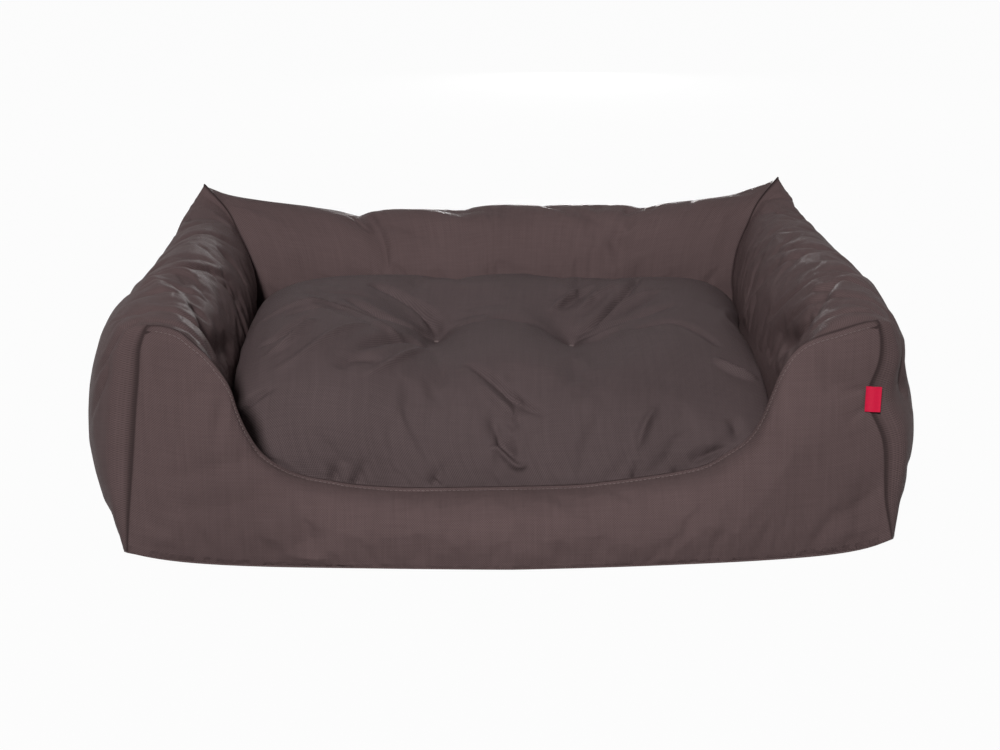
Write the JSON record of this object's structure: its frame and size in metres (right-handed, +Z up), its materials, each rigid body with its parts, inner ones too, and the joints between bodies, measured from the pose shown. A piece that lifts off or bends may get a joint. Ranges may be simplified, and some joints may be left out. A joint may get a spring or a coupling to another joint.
{
  "type": "dog sofa bed",
  "caption": "Rectangular sofa bed for a dog: stuffed walls with pointed rear corners, a low curved front to step over, and a loose tufted cushion that lifts out.",
  "frame": {"origin": "under the middle of the bed, on the surface that it stands on", "axes": "+X across the bed to the right as seen from the open front, +Y from the low front to the back wall, +Z up"},
  "size_m": [0.7993, 0.639, 0.254],
  "materials": {
    "wall_cloth": "closely woven dark taupe-brown polyester with a slight sheen",
    "cushion_cloth": "the same closely woven cloth, a little greyer and duller",
    "filling": "loose white polyester fibre",
    "thread": "matching dark brown sewing thread",
    "label": "plain red woven ribbon, folded double"
  },
  "bodies": {
    "bed": {"bottom_panel": "wall_cloth", "base_pad": "filling", "floor_panel": "wall_cloth", "front_panel": "wall_cloth", "front_facing": "wall_cloth", "front_filling": "filling", "left_arm_cover": "wall_cloth", "left_arm_filling": "filling", "right_arm_cover": "wall_cloth", "right_arm_filling": "filling", "back_cover": "wall_cloth", "back_filling": "filling", "notch_stitching": "thread"},
    "cushion": {"cushion_top_panel": "cushion_cloth", "cushion_bottom_panel": "cushion_cloth", "cushion_filling": "filling", "tuft_knots": "thread"},
    "label": {"label_tab": "label"}
  },
  "joints": [
    {"name": "cushion_lift", "type": "slide", "parent": "bed", "child": "cushion", "axis": [0, 0, 1], "range_m": [0, 0.26]},
    {"name": "label_flip", "type": "hinge", "parent": "bed", "child": "label", "pos_m": [0.3274, -0.29095, 0.152], "axis": [0, 0, 1], "range_deg": [-70, 8], "stiffness_Nm_per_rad": 0.0002}
  ]
}
